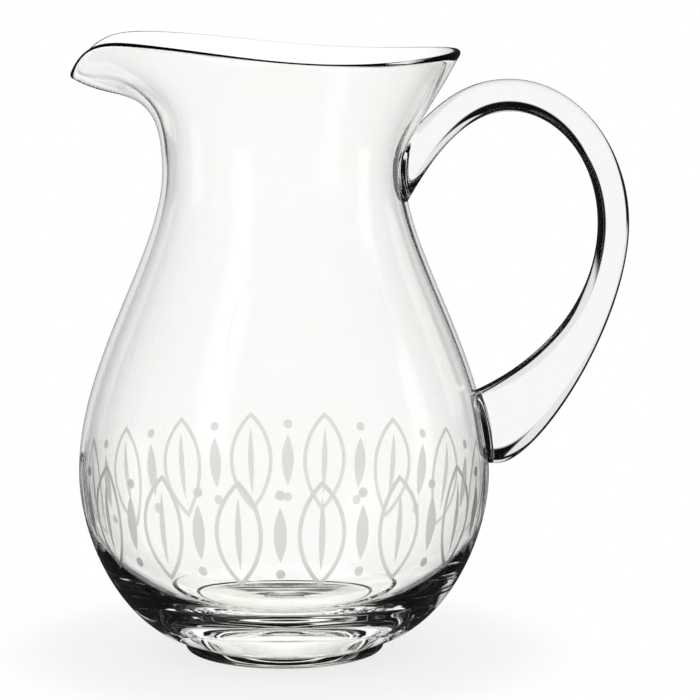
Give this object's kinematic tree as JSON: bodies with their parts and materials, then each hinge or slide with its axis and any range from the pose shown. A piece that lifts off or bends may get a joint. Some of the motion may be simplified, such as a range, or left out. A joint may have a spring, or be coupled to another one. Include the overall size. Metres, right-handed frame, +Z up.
{
  "type": "jug",
  "caption": "Clear glass jug with a round belly, narrow neck, flared rim pulled into a pouring lip, solid strap handle and small solid foot.",
  "frame": {"origin": "centre of the foot's flat underside, on the bowl's axis, where the jug rests on a table", "axes": "+Z up along the bowl's axis, -X towards the pouring lip, +X towards the handle, Y across"},
  "size_m": [0.2045, 0.152, 0.2275],
  "materials": {
    "clear_glass": "polished clear soda-lime glass, with a band of frosted etched ornament round the lower belly"
  },
  "bodies": {
    "root": {"foot": "clear_glass", "bowl": "clear_glass", "handle": "clear_glass"}
  },
  "joints": []
}
